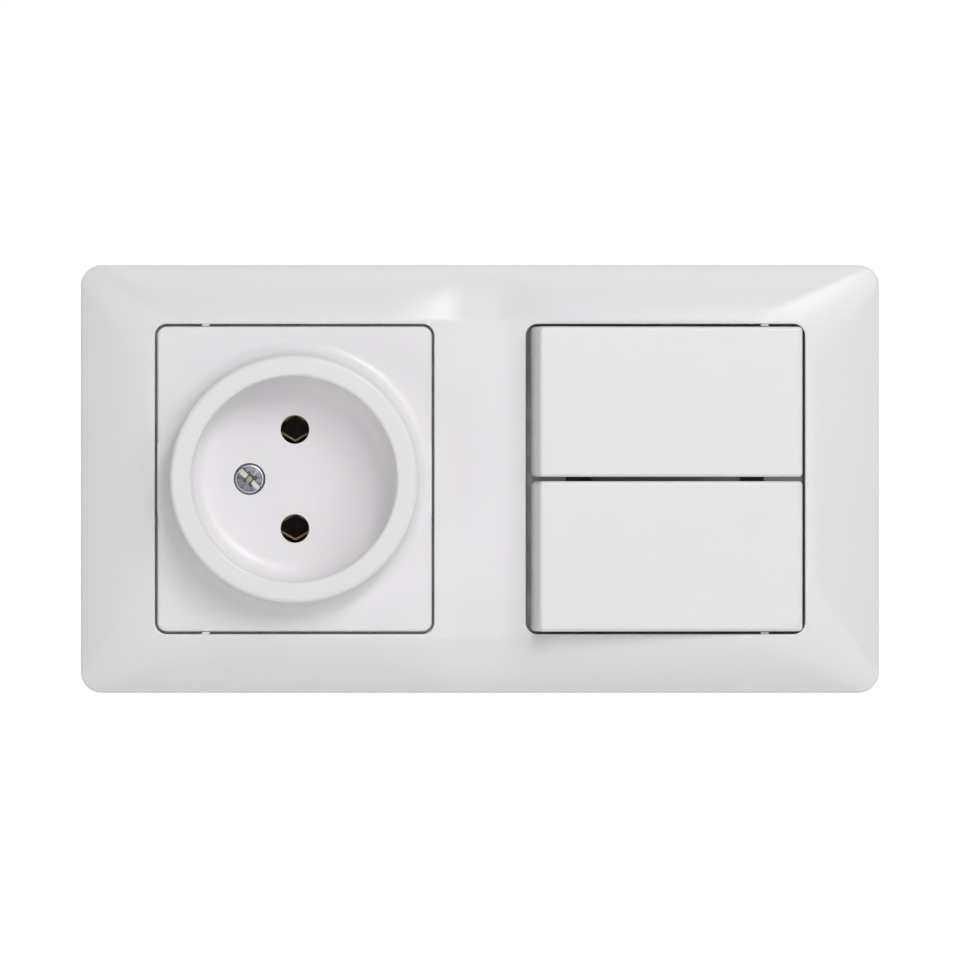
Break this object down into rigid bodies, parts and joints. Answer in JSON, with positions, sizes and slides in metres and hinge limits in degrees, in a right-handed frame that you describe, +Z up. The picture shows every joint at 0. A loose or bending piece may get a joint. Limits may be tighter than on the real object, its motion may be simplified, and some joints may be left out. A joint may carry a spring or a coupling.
{
  "type": "switch and socket combination",
  "caption": "Flush-mounted wall set: crowned frame around a round-collared plug socket and a rocker switch with stacked keys, on steel supports with insulating bases.",
  "frame": {"origin": "centre of the frame on the wall plane", "axes": "+X right along the set, +Y into the wall, +Z up; the front faces -Y"},
  "size_m": [0.153, 0.043, 0.082],
  "materials": {
    "white_plastic": "slightly glossy white",
    "inner_plastic": "matt white",
    "base_plastic": "matt grey",
    "zinc_steel": "zinc plated",
    "brass": "bare brass"
  },
  "bodies": {
    "fixed_set": {"frame": "white_plastic", "socket_cover": "white_plastic", "switch_inner_cap": "inner_plastic", "socket_base": "base_plastic", "switch_base": "base_plastic", "socket_support": "zinc_steel", "switch_support": "zinc_steel", "socket_rivets": "zinc_steel", "switch_rivets": "zinc_steel", "socket_cover_screw": "zinc_steel", "socket_terminal_screws": "zinc_steel", "switch_terminal_screws": "zinc_steel", "socket_clamps": "brass", "switch_clamps": "brass", "socket_contact_upper": "brass", "socket_contact_lower": "brass", "common_terminal": "brass", "upper_outgoing_terminal": "brass", "lower_outgoing_terminal": "brass"},
    "upper_key": {"upper_rocker": "white_plastic", "upper_carrier": "inner_plastic", "upper_spring": "zinc_steel"},
    "lower_key": {"lower_rocker": "white_plastic", "lower_carrier": "inner_plastic", "lower_spring": "zinc_steel"},
    "upper_pin": {"upper_plunger": "inner_plastic"},
    "lower_pin": {"lower_plunger": "inner_plastic"},
    "upper_tipper": {"upper_seesaw": "brass"},
    "lower_tipper": {"lower_seesaw": "brass"}
  },
  "joints": [
    {"name": "upper_key_rock", "type": "hinge", "parent": "fixed_set", "child": "upper_key", "pos_m": [0.0355, -0.0024, 0.0112], "axis": [0, 0, 1], "range_deg": [-12, 0]},
    {"name": "upper_pin_slide", "type": "slide", "parent": "upper_key", "child": "upper_pin", "axis": [0.1045, -0.9945, 0], "range_m": [0, 0.0012], "stiffness_N_per_m": 400, "deforming": ["upper_spring"]},
    {"name": "upper_contact_tip", "type": "hinge", "parent": "fixed_set", "child": "upper_tipper", "pos_m": [0.0355, 0.0115, 0.0112], "axis": [0, 0, 1], "range_deg": [0, 10]},
    {"name": "lower_key_rock", "type": "hinge", "parent": "fixed_set", "child": "lower_key", "pos_m": [0.0355, -0.0024, -0.0112], "axis": [0, 0, 1], "range_deg": [-12, 0]},
    {"name": "lower_pin_slide", "type": "slide", "parent": "lower_key", "child": "lower_pin", "axis": [0.1045, -0.9945, 0], "range_m": [0, 0.0012], "stiffness_N_per_m": 400, "deforming": ["lower_spring"]},
    {"name": "lower_contact_tip", "type": "hinge", "parent": "fixed_set", "child": "lower_tipper", "pos_m": [0.0355, 0.0115, -0.0112], "axis": [0, 0, 1], "range_deg": [0, 10]}
  ],
  "couplings": [
    {"joint": "upper_contact_tip", "follows": "upper_key_rock", "ratio": -0.83333},
    {"joint": "lower_contact_tip", "follows": "lower_key_rock", "ratio": -0.83333}
  ]
}
